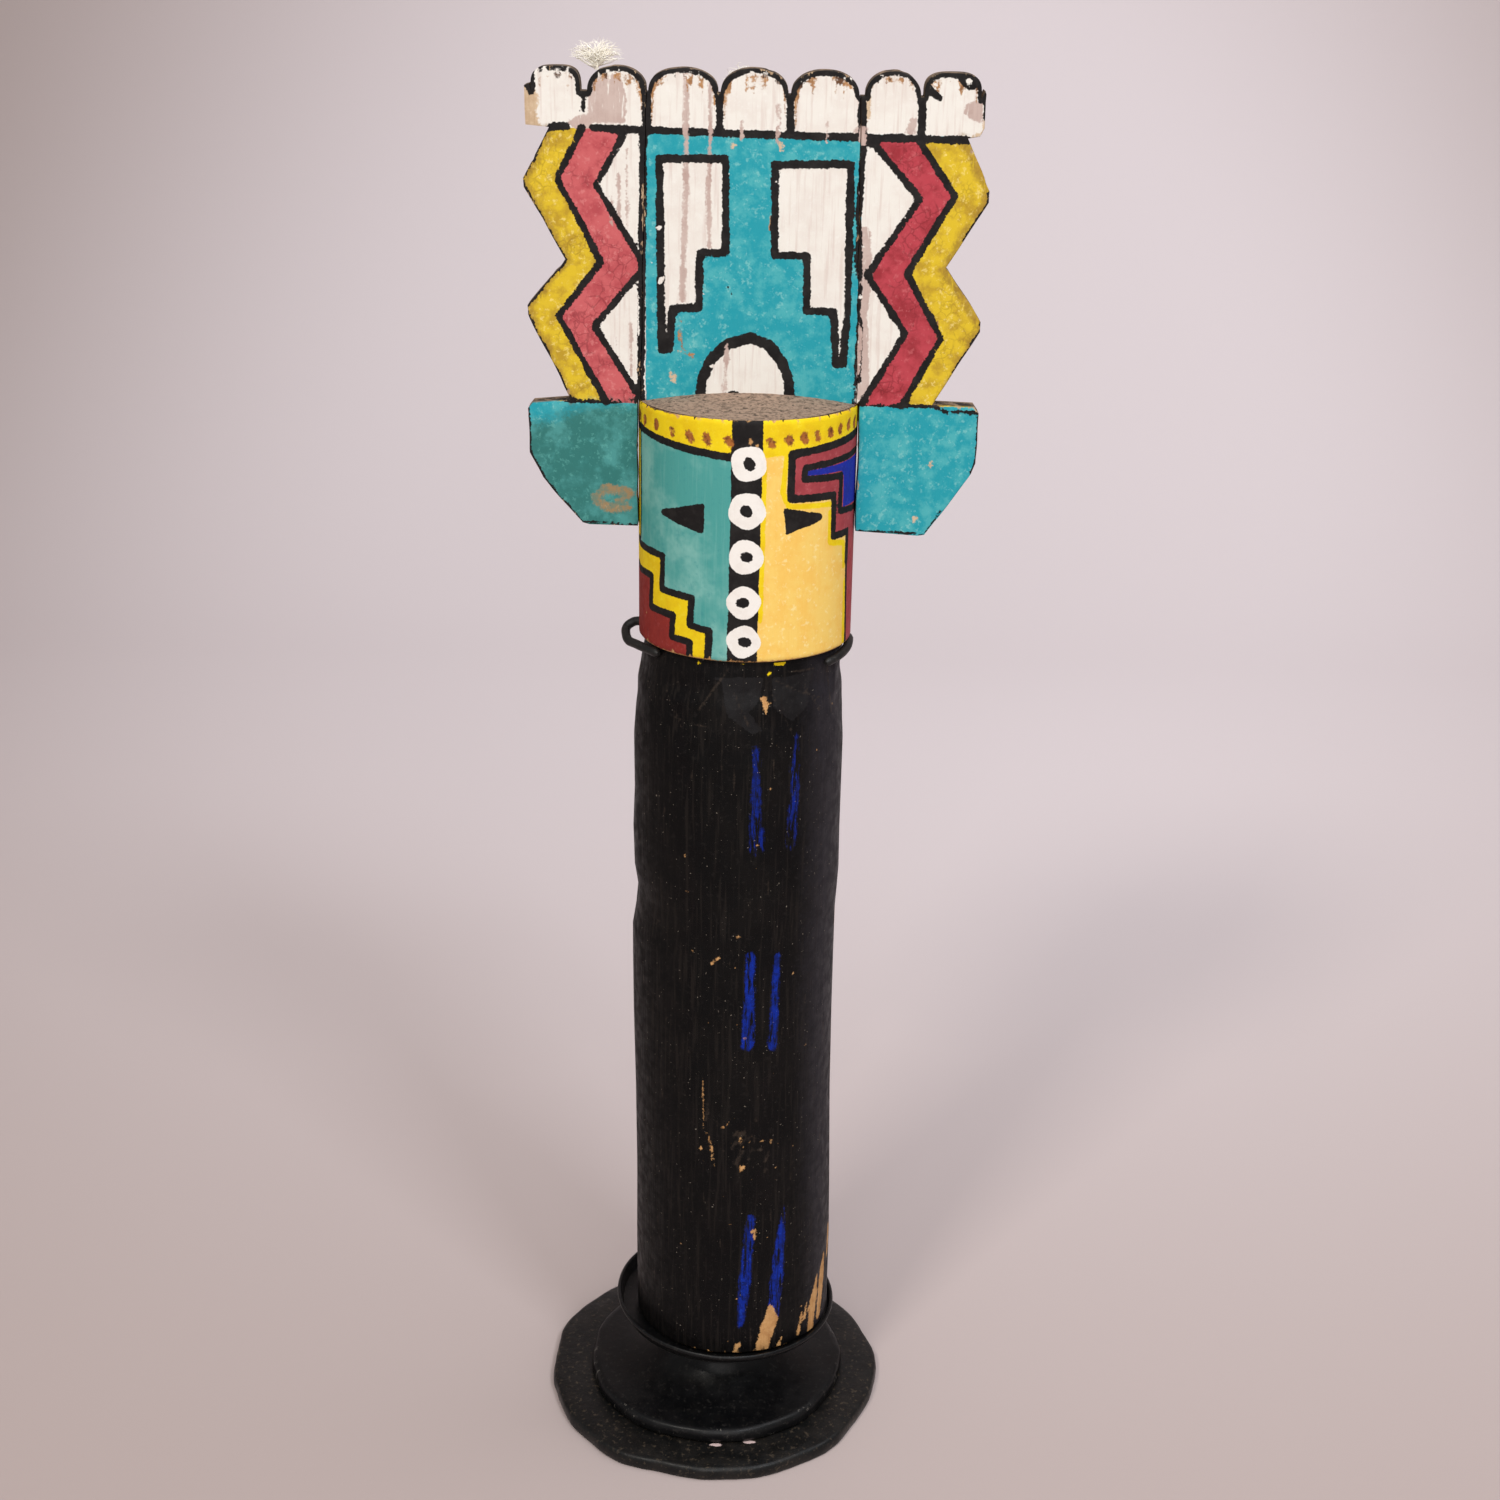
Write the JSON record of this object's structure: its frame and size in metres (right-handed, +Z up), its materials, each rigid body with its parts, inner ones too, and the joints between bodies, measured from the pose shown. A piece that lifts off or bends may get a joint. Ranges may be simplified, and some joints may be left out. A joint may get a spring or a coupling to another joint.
{
  "type": "prayer stick doll",
  "caption": "Half-round carved and painted prayer stick doll with a flat board headdress and ears, standing in a black lipped plate stand with a wire cradle round its neck.",
  "frame": {"origin": "middle of the foot disc's underside, on the surface that the stand stands on", "axes": "+Z up the doll, the doll's face towards -Y, +X to the viewer's right as one faces the doll"},
  "size_m": [0.1274, 0.1115, 0.4399],
  "materials": {
    "painted_wood": "hand-painted in matt earth colours, worn and chipped",
    "black_stand": "black satin lacquer, rubbed at the rim",
    "black_wire": "blackened steel wire, satin",
    "white_down": "white down feather"
  },
  "bodies": {
    "root": {"doll_log": "painted_wood", "left_wing_board": "painted_wood", "right_wing_board": "painted_wood", "down_tuft_left": "white_down", "down_tuft_middle": "white_down", "stand_foot": "black_stand", "stand_pedestal": "black_stand", "stand_wire": "black_wire"}
  },
  "joints": []
}
